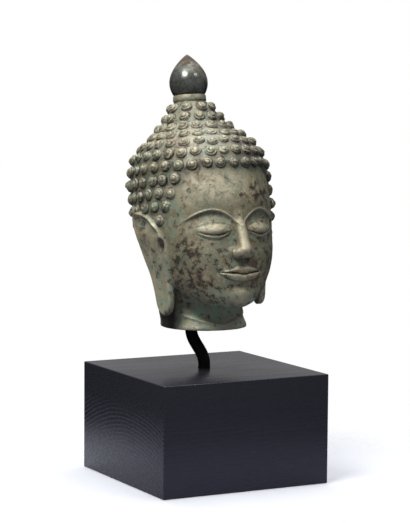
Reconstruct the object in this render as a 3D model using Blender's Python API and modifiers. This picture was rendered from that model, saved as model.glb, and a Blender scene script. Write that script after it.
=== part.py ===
"""Bronze Buddha head with a lotus-bud finial, on a bent steel rod set in a black wooden block.

The block's underside is centred on the origin and the face looks along -Y.
"""
import math

import bmesh
import bpy
import numpy as np
from mathutils import Matrix, Vector
from mathutils.kdtree import KDTree

# Driving dimensions, in metres and radians
BLOCK_SIDE = 0.150
BLOCK_HEIGHT = 0.090
BLOCK_EASED_EDGE = 0.0008
ROD_DIAMETER = 0.0100
ROD_IN_BLOCK = 0.045
ROD_IN_NECK = 0.035
ROD_SHIFT_X = -0.0072
ROD_SHIFT_Y = 0.0100
ROD_STRAIGHT = 0.003
HEAD_GAP = 0.035
HEAD_SHIFT_Y = 0.002
HEAD_HEIGHT = 0.191
HEAD_TILT = math.radians(8.2)
COLLAR_DIAMETER = 0.0272
COLLAR_WAIST = 0.0256
COLLAR_HEIGHT = 0.0050
COLLAR_EDGE = 0.0008
FINIAL_HEIGHT = 0.0340
FINIAL_BELLY_HEIGHT = 0.0102
FINIAL_DIAMETER = 0.0320
FINIAL_INSET = 0.0005
CURL_DIAMETER = 0.0088
CURL_RISE = 0.0034
CURL_PITCH = 0.0112
CURL_ROW_PITCH = 0.0100
FIT_GAP = 0.0003
CARVING_GRAIN = 0.0019
HEAD_TRIANGLES = 7700
CUTTER_REACH = 0.010

# The head is carved in units of its own, x to the figure's left, the face at -y and the crown
# up, from the middle of the neck's cut edge to the collar's top
NECK_CUT = 4.0
COLLAR_TOP = 195.0
UNIT = HEAD_HEIGHT / (COLLAR_TOP - NECK_CUT)

# Height, half width in front, half width behind the ears, front and back of level sections
SECTIONS = (
    (8, 21.0, 21.0, -54.0, 30.0), (15, 26.0, 26.0, -63.0, 32.0), (22, 31.5, 30.0, -68.5, 33.0),
    (30, 37.5, 32.5, -71.5, 34.5), (40, 43.0, 34.5, -73.2, 36.0), (50, 47.5, 37.5, -73.6, 38.0),
    (60, 50.8, 41.5, -73.4, 41.0), (70, 52.8, 45.8, -73.0, 44.8), (80, 53.8, 49.6, -73.0, 48.6),
    (90, 54.2, 52.6, -73.6, 52.0), (100, 54.2, 54.0, -73.8, 54.5), (115, 54.2, 54.2, -72.6, 56.0),
    (127, 54.0, 54.0, -70.2, 55.5), (134, 53.4, 53.4, -68.6, 54.0), (142, 51.2, 51.2, -65.0, 51.5),
    (148.5, 47.6, 47.6, -60.0, 47.0), (155, 42.0, 42.0, -52.5, 39.0),
    (161.5, 34.4, 34.4, -42.5, 30.0), (168.5, 27.0, 27.0, -32.0, 23.5),
    (175.5, 22.4, 22.4, -26.0, 19.0), (182.5, 17.8, 17.8, -20.5, 15.5),
    (188, 14.0, 14.0, -15.0, 13.5), (195, 12.6, 12.6, -12.8, 12.4), (200, 8.0, 8.0, -8.0, 8.0),
)
# Height, radius and middle of the neck's level sections
NECK = (
    (-12, 37.0, -1.0), (0, 36.2, -0.4), (5, 35.4, 0.0), (10, 34.3, 1.0), (18, 34.6, 2.2),
    (40, 33.0, 2.6),
)
# Angle from the face's middle, in degrees, and height of the hairline
HAIRLINE = (
    (0, 127.5), (20, 127.5), (35, 127), (47, 120), (53, 115), (60, 106), (64, 98), (67, 89),
    (71, 81), (76, 76), (95, 74), (106, 55), (122, 43), (145, 37), (180, 36),
)
# Outline of the ear seen from the side, as y and height
EAR = (
    (-2, 98.5), (1, 91), (-1, 80), (-4, 62), (-8, 47), (-10.5, 33), (-12, 21), (-18, 14),
    (-26, 17), (-30.5, 28), (-31, 42), (-34.5, 56), (-36, 68), (-33, 80), (-26, 90), (-13, 97.5),
)
# Height, half width at the ear's front and slope of its sheet away from the head
EAR_SHEET = (
    (14, 42.0, 0.10), (30, 42.2, 0.15), (47, 45.0, 0.09), (62, 48.3, 0.07), (86, 51.3, 0.125),
    (98, 52.3, 0.12),
)
EAR_HALF_THICKNESS = 3.0
LEFT_LOBE_RISE = 5.0
FIRST_CURL_ROW = 133.0
JAW_EDGE = Vector((0.0, -62.0, 14.0))
JAW_RISE = math.radians(21)


def curve_through(knots, at, column=1):
    """Value at each height of the smooth curve through a table's knots."""
    table = np.array(knots, float)
    x, y = table[:, 0], table[:, column]
    slope = np.gradient(y, x)
    i = np.clip(np.searchsorted(x, at) - 1, 0, len(x) - 2)
    span = x[i + 1] - x[i]
    t = np.clip((at - x[i]) / span, 0.0, 1.0)
    keep = (1 + 2 * t) * (1 - t) ** 2
    return (keep * y[i] + (1 - keep) * y[i + 1]
            + t * (1 - t) ** 2 * span * slope[i] - t ** 2 * (1 - t) * span * slope[i + 1])


def smooth_union(a, b, reach):
    """Smaller of two distances, with a fillet of the given reach where they meet."""
    h = np.clip(0.5 + 0.5 * (b - a) / reach, 0.0, 1.0)
    return b * (1 - h) + a * h - reach * h * (1 - h)


def smooth_cut(a, b, reach):
    """Larger of two distances, with a rounded edge of the given reach where they meet."""
    return -smooth_union(-a, -b, reach)


def swell(x, z, middle_x, middle_z, reach_x, reach_z):
    """Soft round swelling of height 1."""
    return np.exp(-((x - middle_x) / reach_x) ** 2 - ((z - middle_z) / reach_z) ** 2)


def head_section(z, y):
    """Half width, middle and half depth of the head at a height, narrower behind the ears."""
    face_half, nape_half, front, back = (curve_through(SECTIONS, z, k) for k in (1, 2, 3, 4))
    behind = np.clip((y + 24.0) / 26.0, 0.0, 1.0)
    behind = behind ** 2 * (3 - 2 * behind)
    half = face_half + (nape_half - face_half) * behind
    return half, (front + back) / 2, (back - front) / 2


def skull(p):
    """Distance to the head's lofted sections, with the jaw's underside cut on a slant."""
    x, y, z = p.T
    half, middle, depth = head_section(z, y)
    ring = np.sqrt((x / half) ** 2 + ((y - middle) / depth) ** 2)
    sides = (ring - 1) * np.sqrt(half * depth)
    under = (JAW_EDGE.z - z) * math.cos(JAW_RISE) + (y - JAW_EDGE.y) * math.sin(JAW_RISE)
    return smooth_cut(sides, under, 12.0)


def neck(p):
    """Distance to the round neck, which flares at its cut edge."""
    x, y, z = p.T
    radius = curve_through(NECK, z, 1)
    middle = curve_through(NECK, z, 2)
    return smooth_cut(np.hypot(x, y - middle) - radius, z - 60, 4.0)


def scalp(p):
    """Distance to the head and neck without carving."""
    return smooth_union(skull(p), neck(p), 8.0)


def round_bar(p, start, end, start_radius, end_radius):
    """Distance to a bar with round ends whose radius changes along it."""
    start, along = np.array(start, float), np.subtract(end, start).astype(float)
    t = np.clip((p - start) @ along / (along @ along), 0.0, 1.0)
    gap = np.linalg.norm(p - start - t[:, None] * along, axis=1)
    return gap - start_radius - (end_radius - start_radius) * t


def nose(p):
    """Distance to the nose: a straight ridge that widens to its tip, and two wings."""
    mirrored = np.column_stack((np.abs(p[:, 0]), p[:, 1:]))
    ridge = round_bar(p, (0, -71.8, 90), (0, -79.6, 61.5), 3.4, 5.6)
    wing = round_bar(mirrored, (6.0, -76.5, 60.0), (7.6, -73.6, 60.0), 4.4, 3.8)
    return smooth_union(ridge, wing, 3.0)


def face_relief(p):
    """Height of the face's carving over the plain head: brows, lids, lips, chin and cheeks."""
    x, z = np.abs(p[:, 0]), p[:, 2]
    brow = 94.0 - ((x - 21.0) / 21.0) ** 2 * np.where(x < 21.0, 8.5, 6.0)
    brow_ends = 1 / (1 + np.exp((x - 37.0) / 2.0))
    rise = 1.7 * np.exp(-((z - brow) / 1.9) ** 2) * brow_ends
    rise -= 3.8 * swell(x, z, 17.0, 83.5, 13.0, 6.0)
    lid = np.clip(1 - ((x - 20.0) / 13.0) ** 2 - ((z - 79.0) / 7.2) ** 2, 0.0, None)
    rise += 4.4 * np.sqrt(lid + 0.02) - 4.4 * math.sqrt(0.02)
    slit = 76.8 - 1.6 * np.clip(1 - ((x - 20.0) / 12.0) ** 2, -1.0, None)
    rise -= 1.4 * np.exp(-((z - slit) / 1.2) ** 2) * np.exp(-((x - 20.0) / 10.5) ** 4)
    mouth = 43.5 + 0.9 * (x / 16.0) ** 2
    upper = 47.2 + 0.9 * np.exp(-((x - 4.5) / 3.0) ** 2) - 0.1 * x
    rise += 3.0 * np.exp(-((z - upper + 0.6) / 3.4) ** 2) * np.exp(-(x / 15.0) ** 4)
    rise += 3.4 * np.exp(-((z - 39.2) / 3.4) ** 2) * np.exp(-(x / 12.5) ** 4)
    rise -= 2.6 * np.exp(-((z - mouth) / 1.1) ** 2) * np.exp(-(x / 17.0) ** 6)
    rise += 2.6 * swell(x, z, 0.0, 26.0, 13.0, 7.5)
    rise -= 1.4 * swell(x, z, 0.0, 33.4, 13.0, 2.8)
    rise += 1.6 * swell(x, z, 29.0, 60.0, 13.0, 15.0)
    return rise / (1 + np.exp((p[:, 1] + 38.0) / 4.0))


def side_angle(p):
    """Angle round the head from the face's middle, in degrees."""
    return np.degrees(np.arctan2(np.abs(p[:, 0]) / 52.0, -(p[:, 1] + 8.6) / 61.0))


def above_hairline(p):
    """Height of each point over the hairline."""
    return p[:, 2] - curve_through(HAIRLINE, side_angle(p))


def ear_outline():
    """Closed round outline through the ear's points."""
    knots = np.array(EAR, float)
    t = np.linspace(0.0, 1.0, 4, endpoint=False)[:, None]
    pieces = []
    for i in range(len(knots)):
        a, b, c, d = (knots[(i + k) % len(knots)] for k in (-1, 0, 1, 2))
        pieces.append(0.5 * (2 * b + (c - a) * t + (2 * a - 5 * b + 4 * c - d) * t ** 2
                             + (3 * b - a - 3 * c + d) * t ** 3))
    return np.vstack(pieces)


def outline_distance(q, outline):
    """Signed distance from flat points to a closed outline, less than zero inside."""
    nearest = np.full(len(q), 1e9)
    inside = np.zeros(len(q), bool)
    for a, b in zip(outline, np.roll(outline, -1, axis=0)):
        along, off = b - a, q - a
        t = np.clip(off @ along / (along @ along), 0.0, 1.0)
        nearest = np.minimum(nearest, np.linalg.norm(off - t[:, None] * along, axis=1))
        crosses = (a[1] > q[:, 1]) != (b[1] > q[:, 1])
        rise = along[1] if along[1] else 1e-9
        inside ^= crosses & (q[:, 0] < a[0] + along[0] * (q[:, 1] - a[1]) / rise)
    return np.where(inside, -nearest, nearest)


def ear_leaf(y, z):
    """Distance from the head's middle to the ear's sheet, which leans away at its back edge."""
    return curve_through(EAR_SHEET, z, 1) + curve_through(EAR_SHEET, z, 2) * (y + 30.0)


def ear(p, outline):
    """Distance to both ears: thin leaves with a raised rim and a hollow by the ear's opening."""
    distance = np.full(len(p), 50.0)
    near = (np.abs(p[:, 0]) > 34.0) & (p[:, 2] < 108.0) & (np.abs(p[:, 1] + 16.0) < 32.0)
    x, y, z = np.abs(p[near, 0]), p[near, 1], p[near, 2]
    z = z - LEFT_LOBE_RISE * (p[near, 0] > 0) * np.clip((60.0 - z) / 40.0, 0.0, 1.0)
    edge = outline_distance(np.column_stack((y, z)), outline)
    lift = x - ear_leaf(y, z)
    sunk = np.clip((-edge - 1.5) / 4.0, 0.0, 1.0) * np.clip((z - 30.0) / 30.0, 0.0, 1.0)
    hollow = 1.5 * sunk + 2.5 * swell(y, z, -28.0, 67.0, 3.4, 6.0)
    thin_front = np.clip((y + 44.0) / 16.0, 0.3, 1.0)
    leaf = np.abs(lift) - EAR_HALF_THICKNESS * thin_front + hollow * (lift > 0.0)
    distance[near] = smooth_cut(edge, leaf, 2.5)
    return distance


def carved_head(p, outline, curls=None):
    """Distance to the whole carved head. Curls are each point's nearest middle and normal."""
    distance = smooth_union(scalp(p), nose(p), 3.5) - face_relief(p)
    if curls is not None:
        middle, normal = curls
        off = p - middle
        lift = np.sum(off * normal, axis=1)
        radius = np.sqrt(np.maximum(np.sum(off * off, axis=1) - lift ** 2, 0.0))
        share = np.clip(radius / (CURL_DIAMETER / UNIT / 2), 0.0, 1.0)
        distance = distance - CURL_RISE / UNIT * (1 - share ** 2.6)
    return smooth_union(distance, ear(p, outline), 2.5)


def slopes(field, p, level, step=0.1):
    """Gradient of a distance field at points where its level is known."""
    shifts = np.eye(3) * step
    return np.column_stack([(field(p + shift) - level) / step for shift in shifts])


def settle(field, p, rounds):
    """Points moved along the field's slope until they lie on its surface."""
    for _ in range(rounds):
        level = field(p)
        slope = slopes(field, p, level)
        push = level / np.maximum(np.sum(slope ** 2, axis=1), 0.2)
        p = p - np.clip(push, -2.5, 2.5)[:, None] * slope
    return p


def curl_middles(outline):
    """Middles of the curls, in rings over the hair with neighbouring rings staggered."""
    heights = np.linspace(20.0, 188.0, 673)
    half = head_section(heights, -30.0)[0]
    climb = np.concatenate(([0.0], np.cumsum(np.hypot(np.diff(half), np.diff(heights)))))
    start = np.interp(FIRST_CURL_ROW, heights, climb)
    pitch = CURL_ROW_PITCH / UNIT
    first = -int(start / pitch)
    last = int((climb[-1] - CURL_DIAMETER / UNIT * 0.45 - start) / pitch)
    points = []
    for row in range(first, last + 1):
        z = np.interp(start + row * pitch, climb, heights)
        half, middle, depth = (part[0] for part in head_section(np.array([z]), np.zeros(1)))
        around = math.pi * (3 * (half + depth)
                            - math.sqrt((3 * half + depth) * (half + 3 * depth)))
        count = max(6, round(around / (CURL_PITCH / UNIT)))
        turn = (np.arange(count) + 0.5 * (row % 2)) * math.tau / count
        points.append(np.column_stack(
            (half * np.sin(turn), middle - depth * np.cos(turn), np.full(count, z))))
    points = np.vstack(points)
    clear = CURL_DIAMETER / UNIT / 2
    on_hair = above_hairline(points) > clear * 0.8
    off_ear = outline_distance(points[:, 1:], outline) > clear * 0.7
    return points[on_hair & off_ear]


def nearest_curls(p, middles, normals):
    """Middle and normal of the curl nearest to each point."""
    tree = KDTree(len(middles))
    for i, middle in enumerate(middles):
        tree.insert(middle, i)
    tree.balance()
    nearest = np.array([tree.find(point)[1] for point in p])
    return middles[nearest], normals[nearest]


def add_object(name, mesh, collection, material=None):
    """New object in a collection, with its material."""
    thing = bpy.data.objects.new(name, mesh)
    collection.objects.link(thing)
    if material is not None:
        mesh.materials.clear()
        mesh.materials.append(material)
    return thing


def mesh_from(build, name):
    """New mesh filled by a function that takes a bmesh."""
    shape = bmesh.new()
    build(shape)
    mesh = bpy.data.meshes.new(name)
    shape.to_mesh(mesh)
    shape.free()
    return mesh


def apply_modifiers(thing):
    """The object's mesh replaced by what its modifiers make of it."""
    graph = bpy.context.evaluated_depsgraph_get()
    made = bpy.data.meshes.new_from_object(thing.evaluated_get(graph))
    old = thing.data
    thing.modifiers.clear()
    thing.data = made
    bpy.data.meshes.remove(old)


def cut(thing, tool, operation="DIFFERENCE"):
    """Boolean of an object with a cutter, which stays out of sight."""
    tool.hide_render = True
    tool.display_type = "WIRE"
    boolean = thing.modifiers.new(tool.name, "BOOLEAN")
    boolean.operation = operation
    boolean.solver = "EXACT"
    boolean.object = tool


def material(name, colour, roughness, metallic):
    """Plain material with one colour."""
    made = bpy.data.materials.new(name)
    made.use_nodes = True
    shader = made.node_tree.nodes["Principled BSDF"]
    shader.inputs["Base Color"].default_value = (*colour, 1.0)
    shader.inputs["Roughness"].default_value = roughness
    shader.inputs["Metallic"].default_value = metallic
    return made


def head_matrix():
    """Place of the head's own frame: tilted back about the middle of the neck's underside."""
    place = Matrix.Translation((0.0, HEAD_SHIFT_Y, BLOCK_HEIGHT + HEAD_GAP - NECK_CUT * UNIT))
    return place @ Matrix.Rotation(-HEAD_TILT, 4, "X")


def turned(name, profile, collection, look=None, steps=36):
    """Solid turned about Z from a profile of radius and height that runs from top to bottom."""
    mesh = bpy.data.meshes.new(name)
    points = [(radius, 0.0, height) for radius, height in profile]
    mesh.from_pydata(points, [(i, i + 1) for i in range(len(points) - 1)], [])
    thing = add_object(name, mesh, collection, look)
    screw = thing.modifiers.new("turn", "SCREW")
    screw.steps = steps
    screw.render_steps = steps
    screw.use_merge_vertices = True
    screw.merge_threshold = 0.00001
    return thing


def drill(name, diameter, top, bottom, x, y, collection):
    """Upright round cutter."""
    size = top - bottom

    def build(shape):
        bmesh.ops.create_cone(shape, cap_ends=True, segments=32, radius1=diameter / 2,
                              radius2=diameter / 2, depth=size,
                              matrix=Matrix.Translation((x, y, bottom + size / 2)))
    return add_object(name, mesh_from(build, name), collection)


def make_block(parts, cutters):
    """Wooden block with eased edges and the hole that the rod stands in."""
    def build(shape):
        bmesh.ops.create_cube(shape, size=1.0, matrix=Matrix.Diagonal(
            (BLOCK_SIDE, BLOCK_SIDE, BLOCK_HEIGHT, 1.0)))
        bmesh.ops.translate(shape, vec=(0, 0, BLOCK_HEIGHT / 2), verts=shape.verts)
        bmesh.ops.bevel(shape, geom=shape.edges[:], offset=BLOCK_EASED_EDGE, segments=2,
                        profile=0.5, affect="EDGES")
    look = material("black painted wood", (0.018, 0.018, 0.021), 0.42, 0.0)
    block = add_object("block", mesh_from(build, "block"), parts, look)
    cut(block, drill("block_hole", ROD_DIAMETER + 2 * FIT_GAP, BLOCK_HEIGHT + CUTTER_REACH,
                     BLOCK_HEIGHT - ROD_IN_BLOCK - FIT_GAP, 0.0, 0.0, cutters))


def make_rod(parts):
    """Round rod, upright in the block and in the neck, with a double bend between them."""
    path = bpy.data.curves.new("rod_path", "CURVE")
    path.dimensions = "3D"
    path.bevel_depth = ROD_DIAMETER / 2
    path.bevel_resolution = 4
    path.resolution_u = 8
    path.use_fill_caps = True
    line = path.splines.new("BEZIER")
    low = BLOCK_HEIGHT + ROD_STRAIGHT
    high = BLOCK_HEIGHT + HEAD_GAP - ROD_STRAIGHT
    stops = ((0.0, BLOCK_HEIGHT - ROD_IN_BLOCK), (0.0, low), (1.0, high),
             (1.0, BLOCK_HEIGHT + HEAD_GAP + ROD_IN_NECK))
    line.bezier_points.add(len(stops) - 1)
    reach = (high - low) * 0.42
    for point, (share, z) in zip(line.bezier_points, stops):
        point.co = (share * ROD_SHIFT_X, share * ROD_SHIFT_Y, z)
        point.handle_left = point.co - Vector((0, 0, reach))
        point.handle_right = point.co + Vector((0, 0, reach))
    guide = bpy.data.objects.new("rod_path", path)
    parts.objects.link(guide)
    graph = bpy.context.evaluated_depsgraph_get()
    mesh = bpy.data.meshes.new_from_object(guide.evaluated_get(graph))
    bpy.data.objects.remove(guide)
    weld_caps = bmesh.new()
    weld_caps.from_mesh(mesh)
    bmesh.ops.remove_doubles(weld_caps, verts=weld_caps.verts, dist=0.00001)
    weld_caps.to_mesh(mesh)
    weld_caps.free()
    mesh.name = "rod"
    mesh.shade_smooth()
    mesh.set_sharp_from_angle(angle=math.radians(40))
    add_object("rod", mesh, parts, material("black steel", (0.006, 0.006, 0.007), 0.35, 0.6))


def rough_head(shape):
    """Cranium, neck, nose and ears as plain overlapping solids, in carving units."""
    bmesh.ops.create_uvsphere(shape, u_segments=48, v_segments=48, radius=1.0)
    low, high = 14.0, 199.0
    for vert in shape.verts:
        x, y, z = vert.co
        level = low + (high - low) * (z + 1) / 2
        ring = math.hypot(x, y)
        fill = min(1.0, ring / 0.35) / max(ring, 1e-6)
        half, middle, depth = (part[0] for part in head_section(np.array([level]), 30.0 * y))
        across, along = fill * half * x, middle + fill * depth * y
        jaw = JAW_EDGE.z + (along - JAW_EDGE.y) * math.tan(JAW_RISE)
        vert.co = (across, along, max(level, jaw))
    bmesh.ops.create_cone(shape, cap_ends=True, segments=40, radius1=36.5, radius2=33.5, depth=52,
                          matrix=Matrix.Translation((0, 1, 14)))
    bmesh.ops.create_cone(shape, cap_ends=True, segments=16, radius1=8, radius2=4, depth=30,
                          matrix=Matrix.Translation((0, -76, 72)))
    outline = ear_outline()
    for side in (-1, 1):
        sheet = side * ear_leaf(outline[:, 0], outline[:, 1])
        rims = []
        for lift in (-EAR_HALF_THICKNESS, EAR_HALF_THICKNESS):
            rims.append([shape.verts.new((x + side * lift, y, z))
                         for x, (y, z) in zip(sheet, outline)])
        shape.faces.new(rims[0])
        shape.faces.new(rims[1])
        for i in range(len(outline)):
            shape.faces.new((rims[0][i - 1], rims[0][i], rims[1][i], rims[1][i - 1]))
    bmesh.ops.recalc_face_normals(shape, faces=shape.faces)


def make_head(parts, cutters):
    """Carved bronze head: curls, ears, face and neck, with the finial's collar and rod socket."""
    look = material("patinated bronze", (0.17, 0.165, 0.12), 0.5, 0.7)
    head = add_object("head", mesh_from(rough_head, "head"), parts, look)
    remesh = head.modifiers.new("grain", "REMESH")
    remesh.mode = "VOXEL"
    remesh.voxel_size = CARVING_GRAIN / UNIT
    apply_modifiers(head)

    outline = ear_outline()
    points = np.empty(len(head.data.vertices) * 3)
    head.data.vertices.foreach_get("co", points)
    points = settle(lambda p: carved_head(p, outline), points.reshape(-1, 3), 5)
    middles = settle(scalp, curl_middles(outline), 4)
    normals = slopes(scalp, middles, scalp(middles))
    normals /= np.linalg.norm(normals, axis=1)[:, None]
    curls = nearest_curls(points, middles, normals)
    points = settle(lambda p: carved_head(p, outline, curls), points, 4)
    head.data.vertices.foreach_set("co", (points * UNIT).ravel())
    head.data.update()

    decimate = head.modifiers.new("facets", "DECIMATE")
    decimate.ratio = HEAD_TRIANGLES / (2.0 * len(head.data.polygons))
    apply_modifiers(head)
    head.data.shade_smooth()
    head.matrix_world = head_matrix()

    crown = COLLAR_TOP * UNIT
    rim = COLLAR_DIAMETER / 2
    collar = turned("collar", (
        (0.0, crown), (rim - COLLAR_EDGE, crown), (rim, crown - COLLAR_EDGE),
        (rim, crown - COLLAR_HEIGHT + COLLAR_EDGE), (COLLAR_WAIST / 2, crown - COLLAR_HEIGHT),
        (COLLAR_WAIST / 2, crown - 3 * COLLAR_HEIGHT), (0.0, crown - 3 * COLLAR_HEIGHT)), cutters)
    collar.matrix_world = head_matrix()
    crown_room = turned("crown_room", (
        (0.0, crown + COLLAR_DIAMETER), (COLLAR_DIAMETER, crown + COLLAR_DIAMETER),
        (COLLAR_DIAMETER, crown - COLLAR_HEIGHT), (0.0, crown - COLLAR_HEIGHT)), cutters)
    crown_room.matrix_world = head_matrix()
    cut(head, crown_room)
    cut(head, collar, "UNION")
    underside = BLOCK_HEIGHT + HEAD_GAP
    cut(head, drill("neck_plane", HEAD_HEIGHT, underside, underside - HEAD_HEIGHT / 4,
                    0.0, HEAD_SHIFT_Y, cutters))
    cut(head, drill("neck_socket", ROD_DIAMETER + 2 * FIT_GAP,
                    underside + ROD_IN_NECK + FIT_GAP, underside - CUTTER_REACH,
                    ROD_SHIFT_X, ROD_SHIFT_Y, cutters))


def make_finial(parts):
    """Lotus bud that stands on the collar: a narrow foot, a round belly and a drawn-out tip."""
    foot = COLLAR_TOP * UNIT + FIT_GAP
    belly = FINIAL_DIAMETER / 2
    base = COLLAR_DIAMETER / 2 - FINIAL_INSET
    profile = [(0.0, foot + FINIAL_HEIGHT)]
    for share in np.linspace(0.06, 1.0, 12):
        swelling = math.sin(share * math.pi / 2) ** 0.80
        drop = (FINIAL_HEIGHT - FINIAL_BELLY_HEIGHT) * share
        profile.append((belly * swelling, foot + FINIAL_HEIGHT - drop))
    for share in np.linspace(0.2, 1.0, 5):
        drawn = 1 - share ** 2
        profile.append((base + (belly - base) * drawn, foot + FINIAL_BELLY_HEIGHT * (1 - share)))
    profile.append((0.0, foot))
    finial = turned("finial", profile, parts,
                    material("dark bronze", (0.035, 0.033, 0.027), 0.3, 0.8))
    finial.matrix_world = head_matrix()


def clear_scene():
    """Everything that the file opened with, removed."""
    for thing in list(bpy.data.objects):
        bpy.data.objects.remove(thing)


def main():
    clear_scene()
    parts = bpy.data.collections.new("buddha_head")
    cutters = bpy.data.collections.new("cutters")
    bpy.context.scene.collection.children.link(parts)
    bpy.context.scene.collection.children.link(cutters)
    make_block(parts, cutters)
    make_rod(parts)
    make_head(parts, cutters)
    make_finial(parts)


if __name__ == "__main__":
    main()
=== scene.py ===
"""Finished surfaces of a bronze Buddha head on its stand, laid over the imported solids.

The head is carved in units of its own, a thousandth of a metre at its real size: x to the
figure's left, the face at -y, the crown up, from just under the neck's cut edge.
"""
import functools
import math

import bpy
import numpy as np
from bpy.props import FloatProperty, FloatVectorProperty, IntProperty, PointerProperty
from mathutils import Matrix, Vector
from mathutils.kdtree import KDTree


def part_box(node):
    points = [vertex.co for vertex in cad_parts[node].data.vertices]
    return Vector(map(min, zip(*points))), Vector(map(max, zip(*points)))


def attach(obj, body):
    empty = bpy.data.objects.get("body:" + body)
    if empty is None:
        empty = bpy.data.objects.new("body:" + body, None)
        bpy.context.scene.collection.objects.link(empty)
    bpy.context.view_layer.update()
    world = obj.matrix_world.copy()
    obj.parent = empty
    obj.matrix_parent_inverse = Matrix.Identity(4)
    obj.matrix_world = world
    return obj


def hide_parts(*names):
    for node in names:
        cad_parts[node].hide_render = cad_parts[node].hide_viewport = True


bl_info = {
    "name": "Bronze Buddha Head",
    "version": (1, 0, 0),
    "blender": (4, 5, 0),
    "location": "3D View > Sidebar > Buddha Head",
    "description": "Carves and finishes a bronze head, its finial, rod and block",
    "category": "Add Mesh",
}

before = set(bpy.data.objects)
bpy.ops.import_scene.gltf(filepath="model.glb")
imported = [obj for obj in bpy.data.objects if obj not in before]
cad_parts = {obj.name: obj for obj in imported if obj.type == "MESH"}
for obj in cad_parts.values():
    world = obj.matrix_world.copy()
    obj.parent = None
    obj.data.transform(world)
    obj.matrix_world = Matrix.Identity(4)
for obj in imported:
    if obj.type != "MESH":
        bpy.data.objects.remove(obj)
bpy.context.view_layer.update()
BLOCK_LOW, BLOCK_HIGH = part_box("block")
HEAD_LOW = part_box("head")[0]
ROD_LOW, ROD_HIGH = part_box("rod")
FINIAL_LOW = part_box("finial")[0]

# Height, half width in front, half width behind the ears, front and back of level sections
SECTIONS = (
    (8, 21.0, 21.0, -54.0, 30.0), (15, 26.0, 26.0, -63.0, 32.0), (22, 31.5, 30.0, -68.5, 33.0),
    (30, 37.5, 32.5, -71.5, 34.5), (40, 43.0, 34.5, -73.2, 36.0), (50, 47.5, 37.5, -73.6, 38.0),
    (60, 50.8, 41.5, -73.4, 41.0), (70, 52.8, 45.8, -73.0, 44.8), (80, 53.8, 49.6, -73.0, 48.6),
    (90, 54.2, 52.6, -73.6, 52.0), (100, 54.2, 54.0, -73.8, 54.5), (115, 54.2, 54.2, -72.6, 56.0),
    (127, 54.0, 54.0, -70.2, 55.5), (134, 53.4, 53.4, -68.6, 54.0), (142, 51.2, 51.2, -65.0, 51.5),
    (148.5, 47.6, 47.6, -60.0, 47.0), (155, 42.0, 42.0, -52.5, 39.0),
    (161.5, 34.4, 34.4, -42.5, 30.0), (168.5, 27.0, 27.0, -32.0, 23.5),
    (175.5, 22.4, 22.4, -26.0, 19.0), (182.5, 17.8, 17.8, -20.5, 15.5),
    (188, 14.0, 14.0, -15.0, 13.5), (195, 12.6, 12.6, -12.8, 12.4), (200, 8.0, 8.0, -8.0, 8.0),
)
# Height, radius and middle of the neck's level sections
NECK = (
    (-12, 37.0, -1.0), (0, 36.2, -0.4), (5, 35.4, 0.0), (10, 34.3, 1.0), (18, 34.6, 2.2),
    (40, 33.0, 2.6),
)
# Angle from the face's middle, in degrees, and height of the hairline
HAIRLINE = (
    (0, 127.5), (20, 127.5), (34, 127), (44, 120), (50, 115), (57, 106), (61, 98), (64, 89),
    (68, 81), (75, 76), (95, 74), (106, 55), (122, 43), (145, 37), (180, 36),
)
# Outline of the ear seen from the side, as y and height
EAR = (
    (-2, 98.5), (1, 91), (-1, 80), (-4, 62), (-8, 47), (-10.5, 33), (-12, 21), (-18, 14),
    (-26, 17), (-30.5, 28), (-31, 42), (-34.5, 56), (-36, 68), (-33, 80), (-26, 90), (-13, 97.5),
)
# Height, half width at the ear's front and slope of its sheet away from the head
EAR_SHEET = (
    (14, 42.0, 0.10), (30, 42.2, 0.15), (47, 45.0, 0.09), (62, 48.3, 0.07), (86, 51.3, 0.125),
    (98, 52.3, 0.12),
)
EAR_HALF_THICKNESS = 3.0
LEFT_LOBE_RISE = 5.0
FIRST_CURL_ROW = 133.0
JAW_EDGE = Vector((0.0, -62.0, 14.0))
JAW_RISE = math.radians(21)
NECK_CUT = 4.0
COLLAR_TOP = 195.0
# Part of the head that is refined for the face: half width, middle and half height, and back
FACE_PART = (38, 68, 32, -48)
# Gap under which two points of a mesh are one, in metres
WELD = 0.00001
# Camera fitted to the block's corners: place, then azimuth, elevation and roll in degrees
CAMERA_PLACE = (-0.7748, -1.4604, 0.3398)
CAMERA_TURN = (-27.95, 5.582, 0.416)
CAMERA_LENS = 138.8
FLOOR_RADIUS = 0.42
FLOOR_FADE = (0.34, 0.11)
# The property in which each kind of node keeps its mode
MODES = {"Math": "operation", "VectorMath": "operation", "MapRange": "interpolation_type",
         "Mix": "data_type", "Attribute": "attribute_name", "TexWave": "wave_type"}


def linear(code):
    """Linear colour with alpha from an sRGB hex code."""
    channels = [int(code[i:i + 2], 16) / 255 for i in (1, 3, 5)]
    lit = [c / 12.92 if c <= 0.04045 else ((c + 0.055) / 1.055) ** 2.4 for c in channels]
    return (*lit, 1.0)


def colour(name, description, code):
    """Colour property with an sRGB default."""
    return FloatVectorProperty(name=name, description=description, default=linear(code),
                               size=4, subtype="COLOR", min=0.0, max=1.0)


def length(name, description, default):
    """Length property with its default in metres."""
    return FloatProperty(name=name, description=description, default=default, unit="LENGTH",
                         precision=5)


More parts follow.
